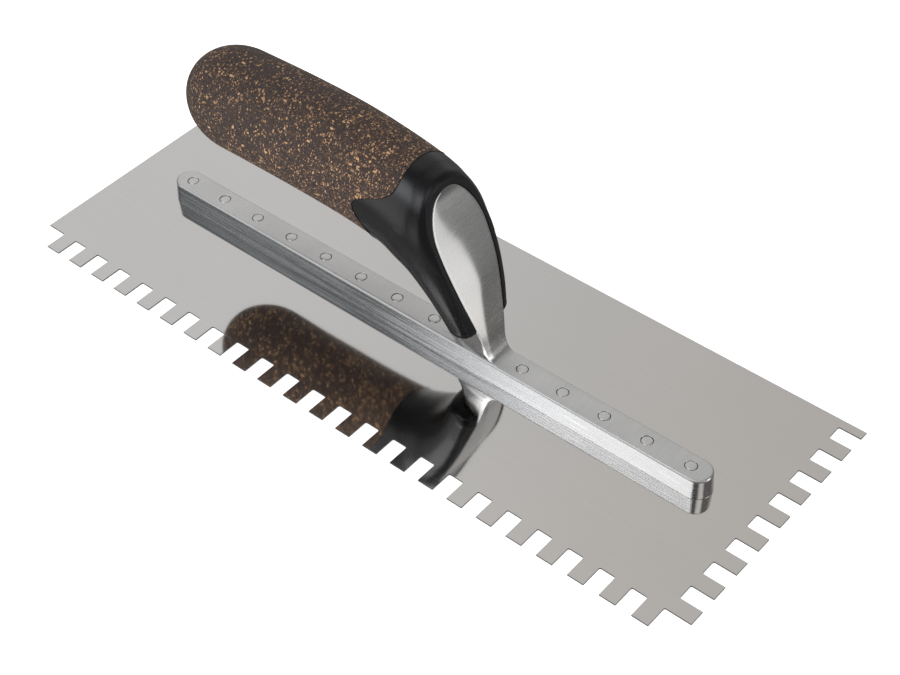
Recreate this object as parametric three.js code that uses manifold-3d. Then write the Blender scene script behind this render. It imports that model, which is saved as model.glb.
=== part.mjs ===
// Notched trowel: a thin stainless blade with square notches along one long edge and one short
// edge, an aluminium mounting casting riveted along its middle, and a cork-and-rubber grip with
// a black collar that hugs the casting's raised neck.
//
// Millimetres. X runs from the heel to the notched short edge (the toe), Y away from the long
// notched edge, Z up. The origin is the middle of the blade's underside.

import * as THREE from 'three';
import { mergeVertices } from 'three/addons/utils/BufferGeometryUtils.js';
import Module from 'manifold-3d';

const wasm = await Module();
wasm.setup();

// ---------------------------------------------------------------- driving dimensions

const bladeLength = 304.8;          // 12 inches
const bladeWidth = 114.3;           // 4 1/2 inches
const bladeThickness = 0.55;
const toePlane = bladeLength / 2;
const heelPlane = -bladeLength / 2;
const backEdge = bladeWidth / 2;
const frontEdge = -bladeWidth / 2;

const notchPitch = 12.7;            // one tooth and one gap, half an inch
const notchRootRadius = 0.6;
const longTeeth = 23;
const longToothWidth = 6.5;
const longNotchDepth = 9.0;
const longFirstTooth = 8.7;         // heel corner to the first tooth
const toeToothWidth = 6.35;
const toeNotchDepth = 8.8;

const barHalfWidth = 5.4;           // just below its rounded top edge
const barFootHalfWidth = 5.85;      // the sides are drafted, so the bar is wider on the blade
const barTop = 9.2;
const barEdgeRound = 0.9;
const barHalfLength = 126.5;

const rivetPitch = 17.9;
const heelRivets = { first: -119.2, count: 8 };
const toeRivets = { first: 46.7, count: 5 };
const rivetRadius = 2.0;
const rivetHoleRadius = 2.25;

const clearance = 0.3;              // gap between pieces that fit into each other

const faceApex = 74.6;              // top of the neck's polished front face
const faceWidest = 57;              // height where that face is widest
const faceHalfWidth = 12.4;
const faceCrown = 1.2;              // how far the face bulges across its width
const apexRoundness = 1.8;          // 2 would round the face off in an ellipse
const neckFoot = 13;                // below this height the neck is as wide as the bar
const neckFlare = 1.25;             // above 1, the neck widens late
const neckBackSquareness = [0.8, 0.45];
const pocketReach = 6;              // how far the collar's pocket is cut out ahead of the face

const gripAxisHeight = 65;          // the tang, the core and the stud lie along this height
const domeLength = 23.2;            // the grip's rounded heel end
const tipLength = 4.2;              // how far the collar's lower end bulges past its last section
const tipSquareness = 0.25;

const tang = { width: 11, height: 14, back: -24.4, front: 6 };
const core = { back: -86.4, front: -16, halfWidth: 11.5, halfHeight: 14 };
const stud = { radius: 3, back: -86, front: -11.4 };
const counterbore = { radius: 8, depth: 10 };
const washer = { inner: 3.3, outer: 7, thickness: 1.6 };
const nut = { acrossFlats: 10, inner: 3.3, thickness: 5 };

// How finely the curved shapes are cut up.
const roundSides = 20;
const boreSides = 32;
const neckLevels = 40;
const neckFaceSteps = 8;
const neckBackSteps = 14;
const handleStations = 34;
const handleSides = 36;
const domeSteps = 7;
const tipSteps = 5;
const seamSteps = 44;
const barEndSteps = 18;             // around each round end of the bar
const barEdgeSteps = 3;             // across its rounded top edge
const capMargin = 0.35;             // keeps a rounded end's smallest ring off its pole

const weldDistance = 1e-4;          // vertices closer than this are one
const beyond = 200;                 // half-size of cutting solids that reach past everything

// ---------------------------------------------------------------- curves of the side view
// Each curve lives in the plane of symmetry. Its points are (x, z).

const curve = (...points) => new THREE.SplineCurve(points.map(([x, z]) => new THREE.Vector2(x, z)));

// A quantity that changes smoothly along the handle, as values at evenly spaced stations.
const profile = (...values) => curve(...values.map((value, station) => [station, value]));

// Front line of the neck, from inside the bar up to the face's apex.
const neckFront = curve(
  [42.0, 5.0], [40.0, 9.4], [36.4, 11.2], [34.6, 15], [33.0, 21.4], [30.0, 31.3],
  [25.7, 43.8], [20.6, 55.5], [16.5, 64], [13.6, 71], [12.9, faceApex],
);

// Rear line of the neck, hidden by the collar above a height of about 20.
const neckBack = curve(
  [15.0, 5.0], [16.4, 9.4], [18.4, 12], [21.0, 16], [22.4, 21.4], [20.6, 30],
  [16.0, 40], [11.5, 50], [7.0, 58], [5.0, 66], [4.6, faceApex],
);

// The handle's outer shape is swept between these two lines, station by station: along the top
// of the grip and down the front of the collar, and along the underside and down the back of
// the collar's leg.
const handleTop = curve(
  [-83.6, 85.4], [-58, 86.4], [-34, 86.1], [-16, 84.6], [-0.2, 82.1], [9.4, 79.0],
  [14.7, 74.1], [19.6, 62.4], [24.9, 49.9], [29.6, 36.4], [32.6, 26.2],
);
const handleUnderside = curve(
  [-83.6, 46.2], [-59, 46.0], [-36, 45.5], [-20, 44.2], [-8, 42.0], [-0.5, 38.7],
  [4.7, 35.9], [8.9, 33.4], [12.6, 30.2], [15.9, 25.8], [18.3, 21.2],
);
const handleHalfWidth = profile(18.7, 18.5, 18.4, 18.0, 17.8, 18.1, 17.7, 17.1, 16.0, 14.4, 12.6);

// Where each section is widest, from 0 at its underside to 1 at its top, and how square it is
// above and below that place. A squareness of 2 is an ellipse.
const widestPlace = profile(0.5, 0.5, 0.5, 0.5, 0.5, 0.5, 0.54, 0.59, 0.62, 0.64, 0.64);
const upperSquareness = profile(2, 2, 2, 2, 2, 2, 2.1, 2.9, 3.3, 2.8, 2.3);
const lowerSquareness = profile(2, 2, 2, 2, 2, 2, 2.1, 2.2, 2.3, 2.4, 2.6);

// Where the cork stops and the collar begins: straight down from the top, back to the tip of a
// rounded wing on each side of the grip, then forward under the grip.
const seam = curve(
  [1.0, 96], [1.2, 86], [1.4, 79], [0.8, 74.6], [-2.6, 71.8], [-8.2, 69.6],
  [-13.6, 66.6], [-14.2, 62.6], [-11.8, 57.4], [-9.4, 52], [-8.8, 40], [-8.6, 5],
).getPoints(seamSteps);

// ---------------------------------------------------------------- geometry helpers

// A closed solid through rings of equal length, each end drawn in to a pole.
function loft(rings, startPole, endPole) {
  const sides = rings[0].length;
  const points = [startPole, ...rings.flat(), endPole];
  const last = points.length - 1;
  const index = [];
  const at = (ring, i) => 1 + ring * sides + (i % sides);
  for (let i = 0; i < sides; i += 1) {
    index.push(0, at(0, i + 1), at(0, i));
    index.push(last, at(rings.length - 1, i), at(rings.length - 1, i + 1));
    for (let ring = 0; ring + 1 < rings.length; ring += 1) {
      index.push(at(ring, i), at(ring, i + 1), at(ring + 1, i + 1));
      index.push(at(ring, i), at(ring + 1, i + 1), at(ring + 1, i));
    }
  }
  const geometry = new THREE.BufferGeometry();
  geometry.setAttribute('position', new THREE.Float32BufferAttribute(points.flatMap((p) => [...p]), 3));
  geometry.setIndex(index);
  return geometry;
}

function toSolid(geometry) {
  const bare = geometry.index ? geometry.clone() : geometry;
  bare.deleteAttribute('normal');
  bare.deleteAttribute('uv');
  const merged = mergeVertices(bare, weldDistance);
  return new wasm.Manifold(new wasm.Mesh({
    numProp: 3,
    vertProperties: new Float32Array(merged.attributes.position.array),
    triVerts: new Uint32Array(merged.index.array),
  }));
}

function toGeometry(solid) {
  const mesh = solid.getMesh();
  const geometry = new THREE.BufferGeometry();
  geometry.setAttribute('position', new THREE.BufferAttribute(mesh.vertProperties, 3));
  geometry.setIndex(new THREE.BufferAttribute(mesh.triVerts, 1));
  geometry.computeVertexNormals();
  return geometry;
}

// A round bar along Z, between two heights.
function post(radius, x, bottom, top) {
  const geometry = new THREE.CylinderGeometry(radius, radius, top - bottom, roundSides);
  geometry.rotateX(Math.PI / 2);
  geometry.translate(x, 0, (top + bottom) / 2);
  return geometry;
}

// A prism along X on the grip's axis, from an outline drawn in (y, z) about that axis.
function alongGrip(outline, back, front) {
  const geometry = new THREE.ExtrudeGeometry(outline, { depth: front - back, bevelEnabled: false });
  geometry.rotateX(Math.PI / 2);
  geometry.rotateZ(Math.PI / 2);
  geometry.translate(back, 0, gripAxisHeight);
  return geometry;
}

function ellipse(halfWidth, halfHeight, sides) {
  const points = [];
  for (let i = 0; i < sides; i += 1) {
    const angle = (2 * Math.PI * i) / sides;
    points.push(new THREE.Vector2(halfWidth * Math.cos(angle), halfHeight * Math.sin(angle)));
  }
  return points;
}

const roundShape = (radius) => new THREE.Shape(ellipse(radius, radius, roundSides));

function rectangleShape(width, height) {
  return new THREE.Shape([
    new THREE.Vector2(-width / 2, -height / 2), new THREE.Vector2(width / 2, -height / 2),
    new THREE.Vector2(width / 2, height / 2), new THREE.Vector2(-width / 2, height / 2),
  ]);
}

// A wide slab that holds everything on one side of the seam, moved along X by a small gap.
function seamSlab(side, shift) {
  const outline = new THREE.Shape();
  outline.moveTo(side * beyond, seam[0].y);
  seam.forEach((point) => outline.lineTo(point.x + shift, point.y));
  outline.lineTo(side * beyond, seam[seamSteps].y);
  const geometry = new THREE.ExtrudeGeometry(outline, { depth: 2 * beyond, bevelEnabled: false });
  geometry.rotateX(Math.PI / 2);
  geometry.translate(0, beyond, 0);
  return toSolid(geometry);
}

// ---------------------------------------------------------------- blade

const rivetPlaces = [heelRivets, toeRivets].flatMap(
  ({ first, count }) => Array.from({ length: count }, (_, i) => first + i * rivetPitch),
);

// Adds a notch's root corner, slightly rounded, between two square edges.
function addRootCorner(outline, corner, before, after) {
  const start = corner.clone().addScaledVector(before, -notchRootRadius);
  const end = corner.clone().addScaledVector(after, notchRootRadius);
  outline.lineTo(start.x, start.y);
  outline.quadraticCurveTo(corner.x, corner.y, end.x, end.y);
}

function addLongEdge(outline) {
  const root = frontEdge + longNotchDepth;
  const down = new THREE.Vector2(0, -1);
  const up = new THREE.Vector2(0, 1);
  const ahead = new THREE.Vector2(1, 0);
  outline.moveTo(heelPlane, root);
  for (let i = 0; i < longTeeth; i += 1) {
    const left = heelPlane + longFirstTooth + i * notchPitch;
    const right = left + longToothWidth;
    addRootCorner(outline, new THREE.Vector2(left, root), ahead, down);
    outline.lineTo(left, frontEdge);
    outline.lineTo(right, frontEdge);
    addRootCorner(outline, new THREE.Vector2(right, root), up, ahead);
  }
}

function addToeEdge(outline) {
  const root = toePlane - toeNotchDepth;
  const back = new THREE.Vector2(-1, 0);
  const ahead = new THREE.Vector2(1, 0);
  const across = new THREE.Vector2(0, 1);
  let y = frontEdge + longNotchDepth;
  outline.lineTo(toePlane, y);
  while (y + notchPitch < backEdge) {
    outline.lineTo(toePlane, y + toeToothWidth);
    addRootCorner(outline, new THREE.Vector2(root, y + toeToothWidth), back, across);
    y += notchPitch;
    addRootCorner(outline, new THREE.Vector2(root, y), across, ahead);
    outline.lineTo(toePlane, y);
  }
  outline.lineTo(toePlane, backEdge);
}

function makeBlade() {
  const outline = new THREE.Shape();
  addLongEdge(outline);
  addToeEdge(outline);
  outline.lineTo(heelPlane, backEdge);
  rivetPlaces.forEach((x) => {
    const hole = ellipse(rivetHoleRadius, rivetHoleRadius, roundSides);
    hole.forEach((point) => point.add(new THREE.Vector2(x, 0)));
    outline.holes.push(new THREE.Path(hole));
  });
  return new THREE.ExtrudeGeometry(outline, {
    depth: bladeThickness, bevelEnabled: false, curveSegments: 3,
  });
}

// ---------------------------------------------------------------- mounting casting

// Outline of the bar at one height: straight sides and round ends.
function barRing(halfWidth, z) {
  const reach = barHalfLength - barHalfWidth;
  const outline = new THREE.Shape();
  outline.absarc(reach, 0, halfWidth, -Math.PI / 2, Math.PI / 2);
  outline.absarc(-reach, 0, halfWidth, Math.PI / 2, (3 * Math.PI) / 2);
  return outline.getPoints(barEndSteps).map((p) => new THREE.Vector3(p.x, p.y, z));
}

// The bar: drafted sides and a rounded top edge, resting on the blade.
function barSolid() {
  const rings = [barRing(barFootHalfWidth, bladeThickness)];
  for (let i = 0; i <= barEdgeSteps; i += 1) {
    const angle = (Math.PI / 2) * (i / barEdgeSteps);
    const inset = barEdgeRound * (1 - Math.cos(angle));
    rings.push(barRing(barHalfWidth - inset, barTop - barEdgeRound * (1 - Math.sin(angle))));
  }
  return toSolid(loft(rings, new THREE.Vector3(0, 0, bladeThickness), new THREE.Vector3(0, 0, barTop)));
}

// Half-width of the neck: as wide as the bar at its foot, widest high up, round at the apex.
function neckHalfWidth(z) {
  if (z >= faceWidest) {
    const rise = Math.min(1, (z - faceWidest) / (faceApex - faceWidest));
    return faceHalfWidth * (1 - rise ** 2) ** (1 / apexRoundness);
  }
  const swell = Math.max(0, (z - neckFoot) / (faceWidest - neckFoot));
  return barHalfWidth + (faceHalfWidth - barHalfWidth) * Math.sin((swell * Math.PI) / 2) ** neckFlare;
}

// One level section of the neck: a crowned front face with crisp edges, and a rounded back.
// grow widens it all round, and ahead carries its front face forward.
function neckSection(z, front, back, grow, ahead) {
  const halfWidth = neckHalfWidth(z) + grow;
  const crown = faceCrown * (halfWidth / faceHalfWidth);
  const depth = front - back + grow;
  const [backPower, sidePower] = neckBackSquareness;
  const ring = [];
  for (let i = 0; i <= neckFaceSteps; i += 1) {
    const v = -1 + (2 * i) / neckFaceSteps;
    ring.push(new THREE.Vector3(front + ahead + crown * (1 - v * v), halfWidth * v, z));
  }
  for (let i = 1; i < neckBackSteps; i += 1) {
    const angle = (Math.PI * i) / neckBackSteps;
    const cos = Math.cos(angle);
    const y = halfWidth * Math.sign(cos) * Math.abs(cos) ** sidePower;
    ring.push(new THREE.Vector3(front - depth * Math.sin(angle) ** backPower, y, z));
  }
  return ring;
}

function neckSolid(grow, ahead) {
  const rings = [];
  for (let i = 0; i < neckLevels; i += 1) {
    // Sections crowd together towards the apex, where the width changes fastest.
    const t = Math.sin((Math.PI / 2) * ((i + capMargin) / neckLevels));
    const front = neckFront.getPoint(t);
    const back = neckBack.getPoint(t);
    rings.push(neckSection(front.y, front.x, back.x, grow, ahead));
  }
  const foot = neckFront.getPoint(0).lerp(neckBack.getPoint(0), 0.5);
  const apex = neckFront.getPoint(1).lerp(neckBack.getPoint(1), 0.5);
  return toSolid(loft(
    rings,
    new THREE.Vector3(foot.x, 0, foot.y),
    new THREE.Vector3(apex.x + ahead / 2, 0, apex.y + grow),
  ));
}

function makeMounting() {
  let solid = barSolid().add(neckSolid(0, 0));
  const tangShape = rectangleShape(tang.width, tang.height);
  solid = solid.add(toSolid(alongGrip(tangShape, tang.back, tang.front)));
  rivetPlaces.forEach((x) => {
    solid = solid.subtract(toSolid(post(rivetHoleRadius, x, 0, 2 * barTop)));
  });
  const tappedHole = roundShape(stud.radius + clearance);
  solid = solid.subtract(toSolid(alongGrip(tappedHole, core.back, stud.front + clearance)));
  return toGeometry(solid);
}

// ---------------------------------------------------------------- handle

// One station of the handle: a rounded section between its lowest and highest point, scaled
// about its widest place and moved in the side view.
function handleRing(t, alongScale, sideScale, shift) {
  const top = handleTop.getPoint(t);
  const low = handleUnderside.getPoint(t);
  const middle = low.clone().lerp(top, widestPlace.getPoint(t).y);
  const halfWidth = handleHalfWidth.getPoint(t).y * sideScale;
  const ring = [];
  for (let i = 0; i < handleSides; i += 1) {
    const angle = (2 * Math.PI * i) / handleSides;
    const cos = Math.cos(angle);
    const sin = Math.sin(angle);
    const squareness = (cos > 0 ? upperSquareness : lowerSquareness).getPoint(t).y;
    const along = Math.abs(cos) ** (2 / squareness) * alongScale;
    const place = middle.clone().lerp(cos > 0 ? top : low, along).add(shift);
    const side = Math.sign(sin) * Math.abs(sin) ** (2 / squareness);
    ring.push(new THREE.Vector3(place.x, -halfWidth * side, place.y));
  }
  return ring;
}

// The pole of a rounded end: the widest place of an end section, moved out by the end's length.
function endPole(t, shift) {
  const middle = handleUnderside.getPoint(t).lerp(handleTop.getPoint(t), widestPlace.getPoint(t).y);
  return new THREE.Vector3(middle.x + shift.x, 0, middle.y + shift.y);
}

function handleSolid() {
  const rings = [];
  const dome = new THREE.Vector2(-domeLength, 0);
  for (let i = domeSteps; i > 0; i -= 1) {
    const angle = (Math.PI / 2) * (i / (domeSteps + capMargin));
    const scale = Math.cos(angle);
    rings.push(handleRing(0, scale, scale, dome.clone().multiplyScalar(Math.sin(angle))));
  }
  for (let i = 0; i <= handleStations; i += 1) {
    rings.push(handleRing(i / handleStations, 1, 1, new THREE.Vector2()));
  }
  const span = handleTop.getPoint(1).sub(handleUnderside.getPoint(1)).setLength(tipLength);
  const tip = new THREE.Vector2(span.y, -span.x);
  for (let i = 1; i <= tipSteps; i += 1) {
    const angle = (Math.PI / 2) * (i / (tipSteps + capMargin));
    const scale = Math.cos(angle);
    const shift = tip.clone().multiplyScalar(Math.sin(angle));
    rings.push(handleRing(1, scale, scale ** tipSquareness, shift));
  }
  return toSolid(loft(rings, endPole(0, dome), endPole(1, tip)));
}

// The way for the tang, as a cutting solid between two places.
function tangWay(back, front) {
  const outline = rectangleShape(tang.width + 2 * clearance, tang.height + 2 * clearance);
  return toSolid(alongGrip(outline, back, front));
}

function makeCork(handle) {
  const outline = new THREE.Shape(
    ellipse(core.halfWidth + clearance, core.halfHeight + clearance, boreSides),
  );
  const bore = toSolid(alongGrip(outline, core.back - clearance, core.front + clearance));
  const solid = handle.intersect(seamSlab(-1, -clearance / 2)).subtract(bore);
  return toGeometry(solid.subtract(tangWay(core.front, tang.front)));
}

function makeCollar(handle) {
  const solid = handle.intersect(seamSlab(1, clearance / 2)).subtract(neckSolid(clearance, pocketReach));
  return toGeometry(solid.subtract(tangWay(tang.back, tang.front)));
}

// Stiff plastic tube inside the cork: square bore over the tang, round bore for the stud, and
// a counterbore at the heel end for the nut and washer.
function makeCore() {
  const outline = new THREE.Shape(ellipse(core.halfWidth, core.halfHeight, boreSides));
  const studWay = alongGrip(roundShape(stud.radius + clearance), core.back, tang.back);
  const nutWay = alongGrip(
    roundShape(counterbore.radius), core.back - counterbore.depth, core.back + counterbore.depth,
  );
  let solid = toSolid(alongGrip(outline, core.back, core.front));
  solid = solid.subtract(tangWay(tang.back - clearance, tang.front));
  solid = solid.subtract(toSolid(studWay)).subtract(toSolid(nutWay));
  return toGeometry(solid);
}

function ringShape(outline, innerRadius) {
  outline.holes.push(new THREE.Path(ellipse(innerRadius, innerRadius, roundSides)));
  return outline;
}

function makeWasher() {
  const seat = core.back + counterbore.depth - clearance;
  return alongGrip(ringShape(roundShape(washer.outer), washer.inner), seat - washer.thickness, seat);
}

function makeNut() {
  const face = core.back + counterbore.depth - clearance - washer.thickness;
  const corner = nut.acrossFlats / Math.sqrt(3);
  const hexagon = new THREE.Shape(ellipse(corner, corner, 6));
  return alongGrip(ringShape(hexagon, nut.inner), face - nut.thickness, face);
}

// ---------------------------------------------------------------- assembly

const finish = (color, roughness, metalness) => (
  new THREE.MeshStandardMaterial({ color, roughness, metalness })
);

const trowel = new THREE.Group();

function addPart(name, geometry, material) {
  const mesh = new THREE.Mesh(geometry, material);
  mesh.name = name;
  trowel.add(mesh);
}

const handle = handleSolid();

addPart('blade', makeBlade(), finish(0xb6b5b1, 0.12, 1));
addPart('mounting', makeMounting(), finish(0xb9bab8, 0.32, 1));
rivetPlaces.forEach((x, i) => {
  const name = `rivet_${String(i + 1).padStart(2, '0')}`;
  addPart(name, post(rivetRadius, x, 0, barTop), finish(0xaeaeaa, 0.3, 1));
});
addPart('collar', makeCollar(handle), finish(0x232325, 0.5, 0));
addPart('cork_grip', makeCork(handle), finish(0x4b3e38, 0.8, 0));
addPart('handle_core', makeCore(), finish(0x1d1d1f, 0.6, 0));
addPart('tang_stud', alongGrip(roundShape(stud.radius), stud.back, stud.front), finish(0x9a9a98, 0.35, 1));
addPart('stud_washer', makeWasher(), finish(0xa5a5a2, 0.35, 1));
addPart('stud_nut', makeNut(), finish(0xa0a09c, 0.35, 1));

export default trowel;
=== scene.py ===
"""Looks of the notched trowel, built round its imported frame.

Shapes are worked out in millimetres in the frame's own axes: X runs from the heel to the notched
toe, Y away from the long notched edge, Z up, and the origin is the middle of the blade's
underside. Meshes are scaled to metres as they are made.
"""

import math

import bmesh
import bpy
import numpy as np
from mathutils import Euler, Matrix, Vector


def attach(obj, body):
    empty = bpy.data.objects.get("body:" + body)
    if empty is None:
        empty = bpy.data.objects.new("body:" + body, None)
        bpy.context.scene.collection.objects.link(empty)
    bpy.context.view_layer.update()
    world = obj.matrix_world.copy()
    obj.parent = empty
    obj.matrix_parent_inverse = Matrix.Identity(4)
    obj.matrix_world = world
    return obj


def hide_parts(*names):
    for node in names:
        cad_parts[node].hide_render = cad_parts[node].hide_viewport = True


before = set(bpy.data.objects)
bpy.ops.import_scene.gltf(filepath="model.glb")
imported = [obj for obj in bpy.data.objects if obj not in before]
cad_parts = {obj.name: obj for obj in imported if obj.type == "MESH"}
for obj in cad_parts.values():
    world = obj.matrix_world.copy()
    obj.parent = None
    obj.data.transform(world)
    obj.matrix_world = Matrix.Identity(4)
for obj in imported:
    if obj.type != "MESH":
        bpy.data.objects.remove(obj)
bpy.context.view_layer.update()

MM = 0.001
# The least length that is divided by.
TINY = 1e-9

# ------------------------------------------------------------------ driving dimensions

# Blade and notches. The teeth of the long edge start at the heel, those of the toe at the long
# notches' roots.
BLADE_LENGTH = 304.8
BLADE_WIDTH = 114.3
BLADE_THICKNESS = 0.55
TOE_PLANE = BLADE_LENGTH / 2
HEEL_PLANE = -BLADE_LENGTH / 2
BACK_EDGE = BLADE_WIDTH / 2
FRONT_EDGE = -BLADE_WIDTH / 2

NOTCH_PITCH = 12.7
NOTCH_ROOT_RADIUS = 0.6
LONG_TEETH = 23
LONG_TOOTH_WIDTH = 6.5
LONG_NOTCH_DEPTH = 9.0
LONG_FIRST_TOOTH = 8.7
TOE_TOOTH_WIDTH = 6.35
TOE_NOTCH_DEPTH = 8.8
BLADE_EDGE_ROUND = 0.06

# Bar and rivets. The bar's sides lean in from its foot to its top. Each row of rivets is given as
# (place of the first, count).
BAR_HALF_WIDTH = 5.4
BAR_FOOT_HALF_WIDTH = 5.85
BAR_TOP = 9.2
BAR_EDGE_ROUND = 0.9
BAR_FOOT_CHAMFER = 0.2
BAR_HALF_LENGTH = 126.5
BAR_END_STEPS = 24

RIVET_PITCH = 17.9
HEEL_RIVETS = (-119.2, 8)
TOE_RIVETS = (46.7, 5)
RIVET_RADIUS = 2.1
RIVET_HOLE_RADIUS = 2.25
RIVET_HOLE_CHAMFER = 0.12
RIVET_PLACES = [
    first + i * RIVET_PITCH for first, count in (HEEL_RIVETS, TOE_RIVETS) for i in range(count)
]

# Gap between fitted pieces.
CLEARANCE = 0.3

# The neck and its polished face.
FACE_APEX = 74.6
FACE_WIDEST = 57
FACE_HALF_WIDTH = 12.4
FACE_APEX_ROUNDNESS = 1.8
FACE_SWELL = 1.25
FACE_SLOPE = 0.11
# The face was ground in two passes. Their meeting line, as (height, place across the half-width
# from -1 on the near side to 1, how gently one pass turns into the other).
FACE_RIDGE = [
    (14, -0.6, 0.12), (22, -0.45, 0.1), (30, -0.25, 0.1), (40, 0.0, 0.12), (50, -0.07, 0.25),
    (57, -0.17, 0.35), (64, -0.5, 0.4), (71, -0.9, 0.5),
]
NECK_FOOT = 13
FOOT_DRAWN_IN = 0.5
# The narrow rounded edge of the face, as (height, width), and its greatest share of the half-width.
FACE_EDGE = [(NECK_FOOT, 0.15), (30, 0.35)]
MOST_FACE_EDGE = 0.2
# How full the neck's back is. At 1 both ways it is a half ellipse.
NECK_BACK_DEPTH_POWER, NECK_BACK_WIDTH_POWER = 0.8, 0.45

# The collar round the neck's polished face. Distance from the face's outline to the collar's crest,
# as (height, distance), and the raised bead and sunk groove that lie between them high up.
CREST = [(15, 4.2), (33, 3.8), (50, 3.0), (62, 6.2), (80, 6.2)]
LOW_CREST_HEIGHT, CREST_HEIGHT = 0.06, 0.07
LOW_CREST_WIDTH, CREST_WIDTH = 0.45, 0.75
BEAD_PLACE, BEAD_HEIGHT, BEAD_WIDTH = 1.8, 0.22, 1.2
GROOVE_PLACE, GROOVE_DEPTH, GROOVE_WIDTH = 4.2, 0.24, 0.9
HIGH_PART = (52, 62)
LIP_DEPTH, LIP_REACH = 0.7, (-0.3, 0.5)
# Inside the crest the collar is flush with the face. Flush stops short of the crest high up, and
# fades out over a distance that doubles there.
RIM_PROUD = 0.15
MOST_RAISED = 0.3
HIGH_FLUSH_SHORTER = 1.8
FLUSH_FADE = 1.2
# How far behind the face's plane the collar still counts as under the face, and is still shaped.
COVERED_DEPTH, SHAPED_DEPTH = 3, 6
# The pocket for the neck is this much wider all round, and its cutting solid stands this far ahead.
NECK_POCKET_GAP = 0.22
POCKET_AHEAD = 6

# The grip: height of its axis, and how far its rounded ends go past the first and last sections.
GRIP_AXIS = 65
DOME_LENGTH = 23.2
TIP_LENGTH = 4.2
# The cork and the collar each end this many rows of the handle's grid away from the seam, with a
# small cove cut into the edge.
SEAM_GAP_ROWS = 0.4
SEAM_COVE = 0.2

# Pieces inside the grip, with their ends along X.
TANG_WIDTH, TANG_HEIGHT, TANG_BACK, TANG_FRONT = 11, 14, -24.4, 6
CORE_BACK, CORE_FRONT, CORE_HALF_WIDTH, CORE_HALF_HEIGHT = -86.4, -16, 11.5, 14
STUD_RADIUS, STUD_FRONT = 3, -11.4
# How far the cutting solids go: past a piece's end, and along X through the cork and the collar.
PAST_PIECE = 1
PAST_CORK = 20
BEHIND_COLLAR, INSIDE_POCKET = -40, 8

# Side-view curves, each a list of (x, z).
NECK_FRONT = [
    (44.0, 8.9), (39.4, 9.3), (36.1, 11.2), (34.5, 15), (33.0, 21.4), (30.0, 31.3),
    (25.7, 43.8), (20.6, 55.5), (16.5, 64), (13.6, 71), (12.9, FACE_APEX),
]
NECK_BACK = [
    (15.0, 5.0), (16.4, 9.4), (18.4, 12), (21.0, 16), (22.4, 21.4), (20.6, 30),
    (16.0, 40), (11.5, 50), (7.0, 58), (5.0, 66), (4.6, FACE_APEX),
]
HANDLE_TOP = [
    (-83.6, 85.4), (-58, 86.4), (-34, 86.1), (-16, 84.6), (-0.2, 82.1), (9.4, 79.0),
    (14.7, 74.1), (19.6, 62.4), (24.9, 49.9), (29.6, 36.4), (32.6, 26.2),
]
HANDLE_UNDERSIDE = [
    (-83.6, 46.2), (-59, 46.0), (-36, 45.5), (-20, 44.2), (-8, 42.0), (-0.5, 38.7),
    (4.7, 35.9), (8.9, 33.4), (12.6, 30.2), (15.9, 25.8), (18.3, 21.2),
]
HANDLE_HALF_WIDTH = [18.7, 18.5, 18.4, 18.0, 17.8, 18.1, 17.7, 17.1, 16.0, 14.4, 12.6]

# Where each section of the handle is widest, from 0 at its underside to 1 at its top, and how
# square it is above and below that place. A squareness of 2 is an ellipse.
WIDEST_PLACE = [0.5, 0.5, 0.5, 0.5, 0.5, 0.5, 0.54, 0.59, 0.62, 0.64, 0.64]
UPPER_SQUARENESS = [2, 2, 2, 2, 2, 2, 2.1, 2.9, 3.3, 2.8, 2.3]
LOWER_SQUARENESS = [2, 2, 2, 2, 2, 2, 2.1, 2.2, 2.3, 2.4, 2.6]

SEAM = [
    (1.0, 96), (1.2, 86), (1.4, 79), (0.8, 74.6), (-2.6, 71.8), (-8.2, 69.6),
    (-13.6, 66.6), (-14.2, 62.6), (-11.8, 57.4), (-9.4, 52), (-8.8, 40), (-8.6, 5),
]

# ------------------------------------------------------------------ curve and mesh helpers


def spline(knots, t):
    """Catmull-Rom curve through evenly spaced knots, at each t from 0 to 1."""
    knots = np.array(knots, float)
    if knots.ndim == 1:
        knots = knots[:, None]
    last = len(knots) - 1
    place = np.clip(np.asarray(t, float), 0, 1) * last
    i = np.minimum(place.astype(int), last - 1)
    u = (place - i)[..., None]
    before, start = knots[np.maximum(i - 1, 0)], knots[i]
    end, after = knots[i + 1], knots[np.minimum(i + 2, last)]
    leave, arrive = (end - before) / 2, (after - start) / 2
    return (
        (2 * start - 2 * end + leave + arrive) * u**3
        + (-3 * start + 3 * end - 2 * leave - arrive) * u**2
        + leave * u
        + start
    )


def smoothstep(value, low, high):
    """0 below low, 1 above high, and a smooth rise between."""
    u = np.clip((np.asarray(value, float) - low) / (high - low), 0, 1)
    return u * u * (3 - 2 * u)


def hump(value, centre, width):
    """A smooth bump of height 1 at the centre."""
    return np.exp(-(((value - centre) / width) ** 2))


def resample(points, count):
    """The same polyline with count points, evenly spaced along its length."""
    steps = np.linalg.norm(np.diff(points, axis=0), axis=1)
    length = np.concatenate([[0], np.cumsum(steps)])
    wanted = np.linspace(0, length[-1], count)
    return np.stack([np.interp(wanted, length, points[:, k]) for k in range(points.shape[1])], 1)


def make_object(name, points, faces):
    """A mesh object from points in millimetres."""
    mesh = bpy.data.meshes.new(name)
    mesh.from_pydata((np.asarray(points, float) * MM).tolist(), [], faces)
    mesh.validate()
    piece = bpy.data.objects.new(name, mesh)
    bpy.context.scene.collection.objects.link(piece)
    return piece


def ring_faces(rings, sides, start=0):
    """Quads between rings of equal length that close on themselves."""
    faces = []
    for ring in range(rings - 1):
        here = start + ring * sides
        for i in range(sides):
            j = (i + 1) % sides
            faces.append((here + i, here + j, here + sides + j, here + sides + i))
    return faces


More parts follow.
